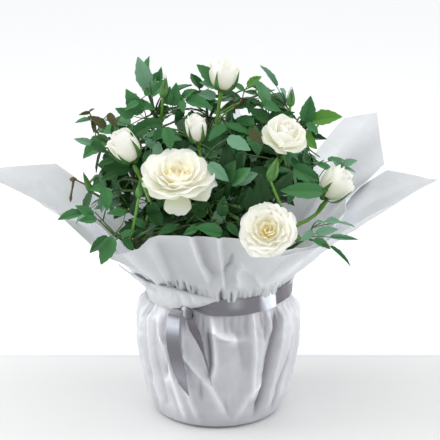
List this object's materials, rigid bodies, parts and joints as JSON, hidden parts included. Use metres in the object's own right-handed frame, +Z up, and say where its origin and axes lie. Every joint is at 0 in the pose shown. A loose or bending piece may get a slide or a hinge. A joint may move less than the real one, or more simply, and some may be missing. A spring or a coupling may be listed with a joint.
{
  "type": "miniature rose bush in a gift-wrapped pot",
  "caption": "Small white-flowered rose bush growing in a nursery pot that is wrapped in pearly paper and tied at the rim with a satin ribbon.",
  "frame": {"origin": "middle of the flat underside that the wrapped pot stands on", "axes": "+Z up along the pot, -Y towards the side with the ribbon's knot and the open flowers, +X towards the right wing of the paper"},
  "size_m": [0.4136, 0.2901, 0.3249],
  "materials": {
    "paper": "pearly translucent gift wrap with creases",
    "ribbon": "satin",
    "pot": "matt black nursery plastic",
    "soil": "crumbly moist peat",
    "cane": "green young bark turning brown at the foot",
    "stem": "smooth bright green",
    "foliage": "dark semi-gloss leaves",
    "petal": "soft white petals with cream hearts"
  },
  "bodies": {
    "root": {"bloom_front": "petal", "bloom_left": "petal", "bloom_low_right": "petal", "bloom_middle": "petal", "bloom_right": "petal", "bloom_top": "petal", "bloom_upper_right": "petal", "bough_left_drooping": "cane", "bough_left_high": "cane", "bough_left_low": "cane", "bough_right": "cane", "bough_right_low": "cane", "bough_top": "cane", "bough_upper_left": "cane", "bough_upper_right": "cane", "cane_back_left": "cane", "cane_back_right": "cane", "cane_front": "cane", "cane_left": "cane", "cane_right": "cane", "collar_back_left": "paper", "collar_front": "paper", "collar_front_left": "paper", "collar_front_right": "paper", "foliage_back": "foliage", "foliage_back_left": "foliage", "foliage_back_right": "foliage", "foliage_core": "foliage", "foliage_front_low": "foliage", "foliage_left_drooping": "foliage", "foliage_left_high": "foliage", "foliage_left_low": "foliage", "foliage_middle_left": "foliage", "foliage_middle_right": "foliage", "foliage_right": "foliage", "foliage_right_low": "foliage", "foliage_top": "foliage", "foliage_upper_left": "foliage", "foliage_upper_middle": "foliage", "foliage_upper_right": "foliage", "pot": "pot", "ribbon_band": "ribbon", "ribbon_knot": "ribbon", "ribbon_tail_long": "ribbon", "ribbon_tail_short": "ribbon", "root_ball": "soil", "stem_front": "stem", "stem_left": "stem", "stem_low_right": "stem", "stem_middle": "stem", "stem_right": "stem", "stem_top": "stem", "stem_upper_right": "stem", "wing_back": "paper", "wing_back_right": "paper", "wing_left": "paper", "wing_right": "paper", "wrap_body": "paper", "wrap_cuff": "paper"}
  },
  "joints": []
}
